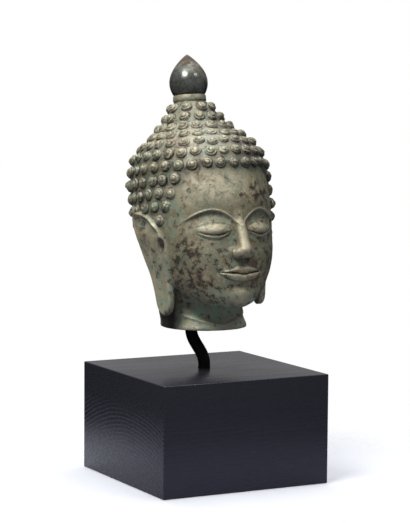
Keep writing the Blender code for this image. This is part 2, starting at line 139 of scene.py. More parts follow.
class BUDDHA_PG_head(bpy.types.PropertyGroup):
    """Sizes of the cast head."""
    height: length("Height", "Neck's underside to collar's top", 0.191)
    tilt: FloatProperty(name="Tilt", description="How far the head leans back",
                        default=math.radians(8.2), subtype="ANGLE")
    forward: length("Neck offset", "Neck's middle behind the block's", 0.002)
    grain: length("Grain", "Facet size of the first carving", 0.00072)
    triangles: IntProperty(name="Triangles", description="Most triangles that the head keeps",
                           default=192000)
    curl_diameter: length("Curl diameter", "Width of one curl", 0.0090)
    curl_rise: length("Curl rise", "How far a curl stands out", 0.0041)
    curl_pitch: length("Curl spacing", "Curl to curl along a row", 0.0116)
    row_pitch: length("Row spacing", "Row to row up the head", 0.0106)
    coil_pitch: length("Coil spacing", "Groove to groove in a curl", 0.0023)


class BUDDHA_PG_stand(bpy.types.PropertyGroup):
    """Sizes of the finial, the rod and the block."""
    finial_belly: length("Finial belly", "Widest diameter of the bud", 0.032)
    finial_foot: length("Finial foot", "Diameter where it stands", 0.0262)
    finial_height: length("Finial height", "Foot to tip", 0.034)
    belly_height: length("Belly height", "Foot to the bud's widest", 0.0102)
    collar: length("Collar", "Diameter of the collar under the bud", 0.0272)
    rod: length("Rod", "Diameter of the steel rod", 0.0100)
    rod_straight: length("Straight end", "Upright length at each end", 0.003)
    eased_edge: length("Eased edge", "Rounding of the block's edges", 0.0008)
    gap: length("Fit gap", "Air round the rod and under the bud", 0.0003)


class BUDDHA_PG_finish(bpy.types.PropertyGroup):
    """Colours of the finishes."""
    bronze: colour("Bronze", "Worn metal that shows on the high places", "#75694d")
    olive: colour("Olive patina", "Even grey-green skin of the casting", "#615f4b")
    sand: colour("Sandy patina", "Dry buff crust on the crown and brow", "#aaa188")
    verdigris: colour("Verdigris", "Pale green in the hollows and on the neck", "#8a9c86")
    brown: colour("Brown patina", "Red-brown stains", "#4c3826")
    # Also the colour that the painted shade in hollows, grooves, under the curls and behind the
    # lobes darkens towards.
    dark_patina_and_shade: colour("Dark patina", "Near-black pits and undercuts", "#231f19")
    bud: colour("Bud metal", "Dark smooth metal of the finial", "#585b55")
    bud_tip: colour("Bud tip", "Rubbed brown at the finial's tip", "#443a28")
    steel: colour("Blackened steel", "Rod", "#060606")
    paint: colour("Black paint", "Satin paint of the block", "#252529")
    floor: colour("Floor", "Studio floor", "#d2d4dc")


def curve_through(knots, at, column=1):
    """Value at each height of the smooth curve through a table's knots."""
    table = np.array(knots, float)
    x, y = table[:, 0], table[:, column]
    slope = np.gradient(y, x)
    i = np.clip(np.searchsorted(x, at) - 1, 0, len(x) - 2)
    span = x[i + 1] - x[i]
    t = np.clip((at - x[i]) / span, 0.0, 1.0)
    keep = (1 + 2 * t) * (1 - t) ** 2
    return (keep * y[i] + (1 - keep) * y[i + 1]
            + t * (1 - t) ** 2 * span * slope[i] - t ** 2 * (1 - t) * span * slope[i + 1])


def smooth_union(a, b, reach):
    """Smaller of two distances, with a fillet of the given reach where they meet."""
    h = np.clip(0.5 + 0.5 * (b - a) / reach, 0.0, 1.0)
    return b * (1 - h) + a * h - reach * h * (1 - h)


def smooth_cut(a, b, reach):
    """Larger of two distances, with a rounded edge of the given reach where they meet."""
    return -smooth_union(-a, -b, reach)


def swell(x, z, middle_x, middle_z, reach_x, reach_z):
    """Soft round swelling of height 1."""
    return np.exp(-((x - middle_x) / reach_x) ** 2 - ((z - middle_z) / reach_z) ** 2)


def line(offset, width):
    """Soft ridge of height 1 along the line where the offset is nil."""
    return np.exp(-(offset / width) ** 2)


def step(offset, width):
    """Soft step from 0 to 1 as the offset rises through nil."""
    return 1 / (1 + np.exp(-np.clip(offset / width, -30.0, 30.0)))


def head_section(z, y):
    """Half width, middle and half depth of the head at a height, narrower behind the ears."""
    face_half, nape_half, front, back = (curve_through(SECTIONS, z, k) for k in (1, 2, 3, 4))
    behind = np.clip((y + 24.0) / 26.0, 0.0, 1.0)
    behind = behind ** 2 * (3 - 2 * behind)
    half = face_half + (nape_half - face_half) * behind
    return half, (front + back) / 2, (back - front) / 2


def under_jaw(y, z):
    """How far each point lies under the slanted underside of the jaw."""
    return (JAW_EDGE.z - z) * math.cos(JAW_RISE) + (y - JAW_EDGE.y) * math.sin(JAW_RISE)


def skull(p):
    """Distance to the head's lofted sections, with the jaw's underside cut on a slant."""
    x, y, z = p.T
    half, middle, depth = head_section(z, y)
    ring = np.sqrt((x / half) ** 2 + ((y - middle) / depth) ** 2)
    sides = (ring - 1) * np.sqrt(half * depth)
    return smooth_cut(sides, under_jaw(y, z), 12.0)


def neck(p):
    """Distance to the round neck, which flares at its cut edge, with its modelled folds."""
    x, y, z = p.T
    middle = curve_through(NECK, z, 2)
    radius = curve_through(NECK, z, 1)
    turn = np.degrees(np.arctan2(np.abs(x), -y))
    fold = z - 2.2 - 0.19 * np.hypot(turn, 6.0)
    radius = radius + (0.9 * line(fold, 1.2) - 0.2 * line(fold - 2.4, 1.4)) * step(64 - turn, 4.0)
    return smooth_cut(np.hypot(x, y - middle) - radius, z - 60, 4.0)


def scalp(p):
    """Distance to the head and neck without carving."""
    return smooth_union(skull(p), neck(p), 8.0)


def round_bar(p, start, end, start_radius, end_radius):
    """Distance to a bar with round ends whose radius changes along it."""
    start, along = np.array(start, float), np.subtract(end, start).astype(float)
    t = np.clip((p - start) @ along / (along @ along), 0.0, 1.0)
    gap = np.linalg.norm(p - start - t[:, None] * along, axis=1)
    return gap - start_radius - (end_radius - start_radius) * t


def nose(p):
    """Distance to the nose: a ridge that widens to its tip, and two wings, all solid behind."""
    x, y, z = np.abs(p[:, 0]), p[:, 1], p[:, 2]
    crest = np.interp(z, (61.5, 91.0), (-79.8, -71.4))
    ridge = round_bar(np.column_stack((x, np.minimum(y, crest), z)),
                      (0, -71.4, 91), (0, -79.8, 61.5), 3.0, 5.4)
    wing = round_bar(np.column_stack((x, np.minimum(y, -74.5), z)),
                     (4.6, -77.2, 59.9), (7.3, -74.6, 60.3), 3.9, 3.3)
    return np.maximum(smooth_union(ridge, wing, 3.4), y + 60.0)


def brow_height(x):
    """Height of the brow's arch at a distance from the face's middle."""
    return 95.0 - np.where(x < 22.0, 10.0 * ((22.0 - x) / 18.0) ** 2,
                           9.0 * ((x - 22.0) / 20.0) ** 2)


def eyes(x, z):
    """Rise of the eyes: a soft ball, a lowered upper lid, a narrow opening and a lower lid."""
    across = (x - 20.4) / 12.2
    inside = step(1.0 - np.abs(across), 0.05)
    rise = 3.3 * np.exp(-0.8 * across ** 2 - ((z - 79.6) / 6.6) ** 2)
    margin = 75.6 + 2.8 * across ** 2 + 0.2 * across
    over = z - margin
    rise += 0.85 * step(over, 0.25) * np.exp(-(np.clip(over, 0.0, None) / 5.0) ** 2) * inside
    rise -= 0.75 * line(over + 0.6, 0.6) * inside
    lower = 72.9 + 5.1 * across ** 2
    rise += 0.75 * line(z - lower, 0.8) * inside
    rise -= 0.4 * line(z - lower + 2.2, 1.2) * inside
    crease = 84.4 - 2.8 * across ** 2
    return rise - 0.45 * line(z - crease, 0.6) * inside


def lips(x, z):
    """Rise of two closed lips with crisp borders, and the dimples at their corners."""
    reach = np.clip(1 - (x / 18.4) ** 4, 0.0, 1.0)
    seam = 43.6 - 0.9 * line(x, 4.2) + 0.0050 * x ** 2
    top = 48.8 + 1.1 * line(x - 4.6, 2.6) - 0.0110 * x ** 2
    bottom = 37.0 + 0.0190 * x ** 2
    upper = np.clip((z - seam) / np.maximum(top - seam, 0.5), 0.0, 1.0)
    lower = np.clip((seam - z) / np.maximum(seam - bottom, 0.5), 0.0, 1.0)
    upper = np.sqrt(4 * upper * (1 - upper) + 0.004) - 0.063
    lower = np.sqrt(4 * lower * (1 - lower) + 0.004) - 0.063
    rise = (2.2 * upper + 2.7 * lower) * np.sqrt(reach)
    rise += 1.3 * swell(x, z, 0.0, 43.0, 17.0, 8.5)
    rise -= 0.45 * line(z - seam, 0.5) * step(18.5 - x, 0.6)
    return rise - 0.8 * swell(x, z, 19.0, 45.2, 2.6, 2.4)


def face_relief(p):
    """Height of the face's carving over the plain head: brows, lids, lips, chin and cheeks."""
    x, z = np.abs(p[:, 0]), p[:, 2]
    drop = brow_height(x) - z
    rise = 0.9 * line(drop, 0.95) * step(41.0 - x, 1.6) * step(x - 3.5, 1.2)
    under = step(drop - 1.2, 0.9) * np.exp(-(np.clip(drop, 0.0, None) / 14.0) ** 2)
    rise -= 2.6 * under * step(35.0 - x, 3.8) * step(x - 6.5, 2.0)
    rise += eyes(x, z) + lips(x, z)
    rise -= 0.45 * line(x, 1.8) * step(z - 50.2, 0.8) * step(56.0 - z, 0.8)
    for height, *place in ((2.7, 0.0, 25.5, 13.0, 7.5), (-1.3, 0.0, 33.0, 13.0, 3.0),
                           (1.8, 29.0, 60.0, 13.0, 15.0), (0.8, 0.0, 104.0, 26.0, 9.0)):
        rise += height * swell(x, z, *place)
    return rise * step(-p[:, 1] - 38.0, 4.0)


def side_angle(p):
    """Angle round the head from the face's middle, in degrees."""
    return np.degrees(np.arctan2(np.abs(p[:, 0]) / 52.0, -(p[:, 1] + 8.6) / 61.0))


def above_hairline(p):
    """Height of each point over the hairline."""
    return p[:, 2] - curve_through(HAIRLINE, side_angle(p))


def ear_outline():
    """Closed round outline through the ear's points."""
    knots = np.array(EAR, float)
    t = np.linspace(0.0, 1.0, 4, endpoint=False)[:, None]
    pieces = []
    for i in range(len(knots)):
        a, b, c, d = (knots[(i + k) % len(knots)] for k in (-1, 0, 1, 2))
        pieces.append(0.5 * (2 * b + (c - a) * t + (2 * a - 5 * b + 4 * c - d) * t ** 2
                             + (3 * b - a - 3 * c + d) * t ** 3))
    return np.vstack(pieces)


def outline_distance(q, outline):
    """Signed distance from flat points to a closed outline, less than zero inside."""
    nearest = np.full(len(q), 1e9)
    inside = np.zeros(len(q), bool)
    for a, b in zip(outline, np.roll(outline, -1, axis=0)):
        along, off = b - a, q - a
        t = np.clip(off @ along / (along @ along), 0.0, 1.0)
        nearest = np.minimum(nearest, np.linalg.norm(off - t[:, None] * along, axis=1))
        crosses = (a[1] > q[:, 1]) != (b[1] > q[:, 1])
        rise = along[1] if along[1] else 1e-9
        inside ^= crosses & (q[:, 0] < a[0] + along[0] * (q[:, 1] - a[1]) / rise)
    return np.where(inside, -nearest, nearest)


def ear_leaf(y, z):
    """Distance from the head's middle to the ear's sheet, which leans away at its back edge."""
    return curve_through(EAR_SHEET, z, 1) + curve_through(EAR_SHEET, z, 2) * (y + 30.0)


def ear(p, outline):
    """Distance to both ears: a leaf with a rolled rim, a hollow under it, a fold and a lobe."""
    distance = np.full(len(p), 50.0)
    near = (np.abs(p[:, 0]) > 34.0) & (p[:, 2] < 108.0) & (np.abs(p[:, 1] + 16.0) < 32.0)
    x, y, z = np.abs(p[near, 0]), p[near, 1], p[near, 2]
    z = z - LEFT_LOBE_RISE * (p[near, 0] > 0) * np.clip((60.0 - z) / 40.0, 0.0, 1.0)
    edge = outline_distance(np.column_stack((y, z)), outline)
    lift = x - ear_leaf(y, z)
    relief = 1.3 * line(edge + 1.5, 1.3) * step(z - 74.0, 5.0)
    relief += 0.5 * line(edge + 1.6, 1.6) * step(74.0 - z, 5.0) * step(y + 22.0, 3.0)
    for height, *place in ((-2.4, -13.0, 89.5, 9.0, 5.5), (1.5, -16.0, 79.0, 6.0, 6.5),
                           (-1.8, -28.5, 80.5, 3.5, 3.5), (-0.6, -21.0, 40.0, 3.5, 16.0)):
        relief += height * swell(y, z, *place)
    thin_front = np.clip((y + 44.0) / 16.0, 0.3, 1.0)
    leaf = np.abs(lift) - EAR_HALF_THICKNESS * thin_front - relief * (lift > 0.0)
    distance[near] = smooth_cut(edge, leaf, 2.2)
    return distance


def ear_opening(p):
    """Distance to the oval hollow at the ear's root and to the slot in front of it."""
    x, y, z = np.abs(p[:, 0]), p[:, 1], p[:, 2]
    oval = np.sqrt(((x - 53.0) / 5.0) ** 2 + ((y + 33.3) / 3.3) ** 2 + ((z - 70.0) / 6.0) ** 2)
    slot = round_bar(np.column_stack((x, y, z)), (52.0, -49.8, 74), (49.6, -48.0, 56), 0.7, 0.5)
    return smooth_union((oval - 1) * 3.5, slot, 0.6)


def head_frame(sizes):
    """Size of one unit of the carving in metres, and the matrix that puts it on its neck."""
    unit = sizes.height / (COLLAR_TOP - NECK_CUT)
    origin = Vector((0.0, sizes.forward, HEAD_LOW[2] - NECK_CUT * unit))
    return unit, Matrix.Translation(origin) @ Matrix.Rotation(-sizes.tilt, 4, "X")


class HeadCarving:
    """The head's own frame, its curls and the distance field that the surface settles on."""

    def __init__(self, sizes, collar):
        self.unit, self.matrix = head_frame(sizes)
        self.tilt = sizes.tilt
        self.collar = collar / self.unit / 2
        self.outline = ear_outline()
        self.curl_radius = sizes.curl_diameter / self.unit / 2
        self.curl_rise = sizes.curl_rise / self.unit
        self.coil = sizes.coil_pitch / self.unit
        self.place_curls(sizes.curl_pitch / self.unit, sizes.row_pitch / self.unit)

    def place_curls(self, pitch, row_pitch):
        """Curls in rings over the hair, neighbouring rings staggered, none quite in line."""
        heights = np.linspace(20.0, 188.0, 673)
        half = head_section(heights, -30.0)[0]
        climb = np.concatenate(([0.0], np.cumsum(np.hypot(np.diff(half), np.diff(heights)))))
        start = np.interp(FIRST_CURL_ROW, heights, climb)
        last = int((climb[-1] - self.curl_radius * 0.9 - start) / row_pitch)
        points = []
        for row in range(-int(start / row_pitch), last + 1):
            z = np.interp(start + row * row_pitch, climb, heights)
            half, middle, depth = (part[0] for part in head_section(np.array([z]), np.zeros(1)))
            around = math.pi * (3 * (half + depth)
                                - math.sqrt((3 * half + depth) * (half + 3 * depth)))
            count = max(6, round(around / pitch))
            turn = (np.arange(count) + 0.5 * (row % 2)) * math.tau / count
            points.append(np.column_stack(
                (half * np.sin(turn), middle - depth * np.cos(turn), np.full(count, z))))
        points = np.vstack(points)
        on_hair = above_hairline(points) > self.curl_radius * 0.35
        off_ear = outline_distance(points[:, 1:], self.outline) > self.curl_radius * 0.5
        points = points[on_hair & off_ear]
        hand = np.random.default_rng(11)
        points = settle(scalp, points + hand.normal(0.0, 0.45, points.shape), 4)
        normals = slopes(scalp, points, scalp(points))
        self.curls = points
        self.steep = np.linalg.norm(normals, axis=1)
        self.normals = normals / self.steep[:, None]
        across = np.cross(self.normals, (0.0, 0.0, 1.0))
        self.across = across / np.linalg.norm(across, axis=1)[:, None]
        self.upward = np.cross(self.across, self.normals)
        self.sizes = hand.normal(1.0, 0.05, len(points)).clip(0.88, 1.12)
        self.lifts = hand.normal(1.0, 0.12, len(points)).clip(0.7, 1.25) * self.steep
        self.turns = hand.uniform(0.0, math.tau, len(points))
        self.tones = hand.uniform(0.35, 1.1, len(points))

    def nearest_curls(self, p):
        """Index of the curl nearest to each point."""
        tree = KDTree(len(self.curls))
        for i, middle in enumerate(self.curls):
            tree.insert(middle, i)
        tree.balance()
        return np.array([tree.find(point)[1] for point in p])

    def on_curl(self, p, i):
        """Where each point lies on its curl: to the right of its middle, and above it."""
        off = p - self.curls[i]
        return np.sum(off * self.across[i], axis=1), np.sum(off * self.upward[i], axis=1)

    def curl_shape(self, p, i, grooved=True):
        """Share of a curl's radius at each point, and its rise: a snail shell on a round boss."""
        right, up = self.on_curl(p, i)
        radius = np.hypot(right, up)
        share = np.clip(radius / (self.curl_radius * self.sizes[i]), 0.0, 1.0)
        worn = 0.92 + 0.10 * np.sin(0.11 * p[:, 0] + 0.09 * p[:, 2] + 0.6)
        worn = worn - 0.22 * swell(p[:, 0], p[:, 2], -12.0, 160.0, 26.0, 20.0)
        rise = self.curl_rise * worn * (1 - share ** 2.4) ** 0.65
        if grooved:
            turn = np.arctan2(up, right) + self.turns[i]
            coil = 0.5 + 0.5 * np.cos(math.tau * radius / self.coil - turn)
            groove = (1 - coil) ** 1.3 * step(0.88 - share, 0.05) * step(radius - 1.1, 0.25)
            rise = rise - 0.6 * groove
        return share, rise * self.lifts[i]

    def field(self, p, i=None, grooved=True):
        """Distance to the whole carved head, with its curls where their indices are given."""
        distance = smooth_union(scalp(p), nose(p), 3.0) - face_relief(p) - self.casting(p)
        distance = distance - 0.35 * step(above_hairline(p) - 1.0, 0.8)
        if i is not None:
            distance = distance - self.curl_shape(p, i, grooved)[1]
        distance = smooth_union(distance, ear(p, self.outline), 2.0)
        mirrored = np.column_stack((np.abs(p[:, 0]), p[:, 1:]))
        root = round_bar(mirrored, (43.6, -36.6, 37.0), (43.4, -37.2, 36.0), 2.6, 2.4)
        distance = smooth_union(distance, root, 1.5)
        nostril = round_bar(mirrored, (4.6, -78.6, 54.5), (4.2, -78.2, 57.0), 1.5, 1.3)
        opening = np.minimum(nostril, ear_opening(p))
        distance = smooth_cut(distance, -opening, 0.8)
        ring = np.hypot(p[:, 0], p[:, 1]) - self.collar
        groove = line(p[:, 2] - (COLLAR_TOP - 5.7), 0.7) * step(p[:, 2] - 185.0, 1.0)
        ring_ends = np.abs(p[:, 2] - (COLLAR_TOP - 2.5)) - 2.5
        distance = distance + 0.8 * groove
        distance = smooth_union(distance, smooth_cut(ring, ring_ends, 0.8), 0.5)
        distance = smooth_cut(distance, p[:, 2] - COLLAR_TOP, 0.5)
        cut = NECK_CUT - p[:, 2] * math.cos(self.tilt) + p[:, 1] * math.sin(self.tilt)
        return smooth_cut(distance, cut, 1.0)

    def casting(self, p):
        """Slight unevenness that a hand-finished wax leaves all over."""
        x, y, z = p.T
        waves = (np.sin(0.31 * x + 0.17 * y + 1.3) * np.sin(0.23 * z - 0.12 * y + 0.4)
                 + 0.5 * np.sin(0.71 * x - 0.37 * z + 2.1) * np.sin(0.63 * y + 0.41 * z)
                 + 0.3 * np.sin(1.31 * z + 0.93 * x) * np.sin(1.17 * y - 0.83 * x + 0.7))
        return 0.14 * waves


def slopes(field, p, level, reach=0.06):
    """Gradient of a distance field at points where its level is known."""
    shifts = np.eye(3) * reach
    return np.column_stack([(field(p + shift) - level) / reach for shift in shifts])


def settle(field, p, rounds):
    """Points moved along the field's slope until they lie on its surface."""
    for _ in range(rounds):
        level = field(p)
        slope = slopes(field, p, level)
        push = level / np.maximum(np.sum(slope ** 2, axis=1), 0.25)
        p = p - np.clip(push, -2.5, 2.5)[:, None] * slope
    return p


def read_points(mesh):
    """Vertex positions as an array."""
    points = np.empty(len(mesh.vertices) * 3)
    mesh.vertices.foreach_get("co", points)
    return points.reshape(-1, 3)


def write_points(mesh, points):
    """Vertex positions from an array."""
    mesh.vertices.foreach_set("co", np.ascontiguousarray(points, float).ravel())
    mesh.update()


def apply_all(piece):
    """Every modifier of the piece, applied in order."""
    only(piece)
    for modifier in list(piece.modifiers):
        bpy.ops.object.modifier_apply(modifier=modifier.name)


def only(*pieces):
    """Nothing selected but these pieces, the first of them active."""
    if bpy.context.object and bpy.context.object.mode != "OBJECT":
        bpy.ops.object.mode_set(mode="OBJECT")
    bpy.ops.object.select_all(action="DESELECT")
    for piece in pieces:
        piece.select_set(True)
    bpy.context.view_layer.objects.active = pieces[0]


def added(name):
    """The object that the last primitive made, with its place moved into its mesh."""
    piece = bpy.context.object
    piece.name = name
    piece.data.name = name
    only(piece)
    bpy.ops.object.transform_apply(location=True, rotation=True, scale=True)
    return piece


def edit_whole(piece, *steps):
    """Each mesh tool in turn works on the whole piece, and then its faces turn outwards."""
    only(piece)
    bpy.ops.object.mode_set(mode="EDIT")
    for tool, settings in (*steps, (bpy.ops.mesh.normals_make_consistent, {"inside": False})):
        bpy.ops.mesh.select_all(action="SELECT")
        tool(**settings)
    bpy.ops.object.mode_set(mode="OBJECT")


def thicken(piece, shift):
    """Closed sheet out of a flat outline."""
    edit_whole(piece, (bpy.ops.mesh.extrude_region_move,
                       {"TRANSFORM_OT_translate": {"value": shift}}))


def cut_away(piece, tool):
    """Takes the tool's shape out of the piece and throws the tool away."""
    only(piece)
    cut = piece.modifiers.new("cut", "BOOLEAN")
    cut.object = tool
    cut.solver = "EXACT"
    apply_all(piece)
    bpy.data.objects.remove(tool)


def finish_piece(piece, node, material):
    """Puts the material on, hides the solid that the piece stands for and makes it ride with the
    body.
    """
    piece.data.materials.clear()
    piece.data.materials.append(material)
    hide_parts(node)
    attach(piece, "root")


def wire(socket, value):
    """Puts a value or another node's output on a socket."""
    if isinstance(value, bpy.types.NodeSocket):
        socket.id_data.links.new(value, socket)
    else:
        socket.default_value = value


def add_node(tree, kind, mode="", *values, **settings):
    """Adds a node with its settings, fills its sockets in order and gives its first output."""
    made = tree.nodes.new("ShaderNode" + kind)
    if mode:
        setattr(made, MODES[kind], mode)
    for name, value in settings.items():
        setattr(made, name, value)
    for socket, value in zip([socket for socket in made.inputs if socket.enabled], values):
        if value is not None:
            wire(socket, value)
    return next((socket for socket in made.outputs if socket.enabled), None)


def new_material(name):
    """Empty material, its shader and the function that adds a node to it."""
    made = bpy.data.materials.new(name)
    made.use_nodes = True
    made.node_tree.nodes.clear()
    add = functools.partial(add_node, made.node_tree)
    shader = add("BsdfPrincipled")
    add("OutputMaterial", "", shader)
    return made, shader.node.inputs, add


def patinated_bronze(finish, coils):
    """Lost-wax bronze long buried: mineral crust over metal, so mostly dull and part metallic,
    with painted shade in its hollows, grooves and undercuts.
    """
    made, shader, add = new_material("patinated_cast_bronze")
    where = add("TexCoord").node.outputs["Object"]
    # The dark attribute carries painted shade, and the front curl row's darker tone.
    hollow, dark, green, pale, brown, pitted = (
        add("Attribute", name).node.outputs["Fac"]
        for name in ("hollow", "dark", "green", "pale", "brown", "pitted"))
    clouds, mottle, patches, grain = (
        add("TexNoise", "", where, 1 / size, detail, rough, 2.0, warp)
        for size, detail, rough, warp in (
            (0.024, 6.0, 0.62, 0.3), (0.0085, 6.0, 0.68, 0.3), (0.0052, 5.0, 0.60, 0.2),
            (0.0018, 4.0, 0.66, 0.2)))
    worn = add("MapRange", "SMOOTHSTEP", clouds, 0.38, 0.62)
    sandy = add("Math", "MULTIPLY_ADD", pale, 0.9,
                add("MapRange", "SMOOTHSTEP", clouds, 0.54, 0.74))
    sandy = add("Math", "MULTIPLY", sandy, add("MapRange", "SMOOTHSTEP", mottle, 0.36, 0.58),
                use_clamp=True)
    sandy = add("Math", "MULTIPLY", sandy, 0.9)
    recess = add("MapRange", "SMOOTHSTEP", hollow, 0.53, 0.7)
    green = add("Math", "MULTIPLY_ADD", recess, 0.4, green)
    green = add("Math", "MULTIPLY", green, add("MapRange", "SMOOTHSTEP", mottle, 0.62, 0.4),
                use_clamp=True)
    stains = add("Math", "MULTIPLY_ADD", brown, 0.2,
                 add("Math", "MULTIPLY_ADD", patches, 0.7, clouds))
    stains = add("Math", "MULTIPLY_ADD", pale, -0.07, stains)
    stains = add("MapRange", "SMOOTHSTEP", stains, 0.89, 1.04, 0.0, 0.8)
    level = add("Math", "MULTIPLY_ADD", grain, 0.38, add("Math", "MULTIPLY", patches, 0.62))
    level = add("Math", "MULTIPLY_ADD", pitted, 0.11, level)
    pits = add("MapRange", "SMOOTHSTEP", level, 0.59, 0.63)

    place = add("Attribute", "curl_place").node.outputs["Vector"]
    across, upward, share = add("SeparateXYZ", "", place).node.outputs
    from_middle = add("Math", "SQRT", add("Math", "MULTIPLY_ADD", across, across,
                                          add("Math", "MULTIPLY", upward, upward)))
    coil = add("Math", "SUBTRACT", add("Math", "MULTIPLY", from_middle, math.tau * coils),
               add("Math", "ARCTAN2", upward, across))
    coil = add("Math", "MULTIPLY_ADD", add("Math", "COSINE", coil), -0.5, 0.5)
    coil = add("Math", "MULTIPLY", add("Math", "POWER", coil, 1.6),
               add("Math", "MULTIPLY", add("MapRange", "SMOOTHSTEP", share, 0.92, 0.8),
                   add("MapRange", "SMOOTHSTEP", from_middle, 0.2, 0.34)))
    # Painted shade: darker in hollows, where the dark attribute says, and in each curl's coil
    # groove, mixed towards the dark patina colour.
    shade = add("Math", "MULTIPLY_ADD", add("MapRange", "SMOOTHSTEP", hollow, 0.56, 0.92),
                0.62, dark, use_clamp=True)
    shade = add("Math", "MULTIPLY_ADD", coil, 0.55, shade, use_clamp=True)

    rubbed = add("MapRange", "SMOOTHSTEP", hollow, 0.42, 0.27, 0.0, 0.6)
    rubbed = add("Math", "MULTIPLY", rubbed, add("MapRange", "SMOOTHSTEP", mottle, 0.34, 0.56),
                 use_clamp=True)
    rubbed = add("Math", "MULTIPLY", rubbed, add("Math", "SUBTRACT", 1.0, coil))
    clear = add("Math", "SUBTRACT", 1.0, dark)
    rubbed = add("Math", "MULTIPLY", rubbed, clear)
    flecks = add("Math", "MULTIPLY_ADD", patches, -0.4, grain)
    flecks = add("MapRange", "SMOOTHSTEP", flecks, 0.34, 0.42, 0.0, 0.3)
    flecks = add("Math", "MULTIPLY", flecks, clear)
    crust = tuple(finish.olive)
    for share, tint in ((worn, finish.bronze), (sandy, finish.sand), (green, finish.verdigris),
                        (stains, finish.brown), (add("Math", "MULTIPLY", pits, 0.82), finish.dark_patina_and_shade),
                        (add("Math", "MULTIPLY", shade, 0.97), finish.dark_patina_and_shade),
                        (rubbed, finish.sand), (flecks, finish.sand)):
        crust = add("Mix", "RGBA", share, crust, tuple(tint))
    wire(shader["Base Color"], crust)
    wire(shader["Metallic"], add("Math", "MULTIPLY_ADD", rubbed, 0.35, 0.15))
    gloss = add("Math", "MULTIPLY_ADD", rubbed, -0.18, 0.47)
    wire(shader["Roughness"], add("Math", "MULTIPLY_ADD",
                                  add("MapRange", "SMOOTHSTEP", mottle, 0.4, 0.7), 0.2, gloss))
    height = add("Math", "MULTIPLY", mottle, 0.5)
    for relief, share in ((grain, 0.42), (patches, 0.4), (pits, -0.25), (coil, -0.5)):
        height = add("Math", "MULTIPLY_ADD", relief, share, height)
    wire(shader["Normal"], add("Bump", "", 0.6, 0.001, None, height))
    return made


def dark_bronze(finish, belly):
    """Smooth bronze handled for years: dark, tight-grained, softly shining, browner at the tip."""
    made, shader, add = new_material("dark_polished_bronze")
    where = add("TexCoord").node.outputs["Object"]
    clouds = add("TexNoise", "", where, 1 / 0.008, 5.0, 0.62)
    grain = add("TexNoise", "", where, 1 / 0.0014, 4.0, 0.65)
    along, _, height = add("SeparateXYZ", "", where).node.outputs
    level = add("Math", "MULTIPLY_ADD", clouds, 0.016, height)
    level = add("Math", "MULTIPLY_ADD", along, 0.45, level)
    rubbed = add("MapRange", "SMOOTHSTEP", level, belly + 0.016, belly + 0.024)
    rubbed = add("Math", "MULTIPLY", rubbed, add("MapRange", "SMOOTHSTEP", clouds, 0.34, 0.54))
    skin = add("Mix", "RGBA", rubbed, tuple(finish.bud), tuple(finish.bud_tip))
    for part, low, high, strength, tint in ((0.8, 0.86, 1.02, 0.6, finish.dark_patina_and_shade),
                                            (-0.5, 0.3, 0.42, 0.25, finish.sand)):
        streaks = add("Math", "MULTIPLY_ADD", clouds, part, grain)
        streaks = add("MapRange", "SMOOTHSTEP", streaks, low, high, 0.0, strength)
        skin = add("Mix", "RGBA", streaks, skin, tuple(tint))
    wire(shader["Base Color"], skin)
    wire(shader["Metallic"], add("Math", "MULTIPLY_ADD", rubbed, -0.4, 0.45))
    gloss = add("Math", "MULTIPLY_ADD", clouds, 0.14, 0.17)
    upper = add("MapRange", "SMOOTHSTEP", height, belly + 0.009, belly + 0.016)
    gloss = add("Math", "MULTIPLY_ADD", upper, 0.3, gloss)
    wire(shader["Roughness"], add("Math", "MULTIPLY_ADD", rubbed, 0.35, gloss))
    wire(shader["Normal"], add("Bump", "", 0.3, 0.0004, None,
                               add("Math", "MULTIPLY_ADD", grain, 0.4, clouds)))
    return made


def blackened_steel(finish):
    """Hot-rolled rod, blackened: a dull black skin with a faint sheen."""
    made, shader, add = new_material("blackened_steel")
    where = add("TexCoord").node.outputs["Object"]
    scale = add("TexNoise", "", where, 1 / 0.0018, 4.0, 0.6)
    bare = add("MapRange", "SMOOTHSTEP", scale, 0.52, 0.72)
    wire(shader["Base Color"], add("Mix", "RGBA", bare, tuple(finish.steel), linear("#121211")))
    shader["Metallic"].default_value = 0.4
    shader["Specular IOR Level"].default_value = 0.3
    wire(shader["Roughness"], add("Math", "MULTIPLY_ADD", scale, 0.15, 0.46))
    wire(shader["Normal"], add("Bump", "", 0.3, 0.0002, None, scale))
    return made


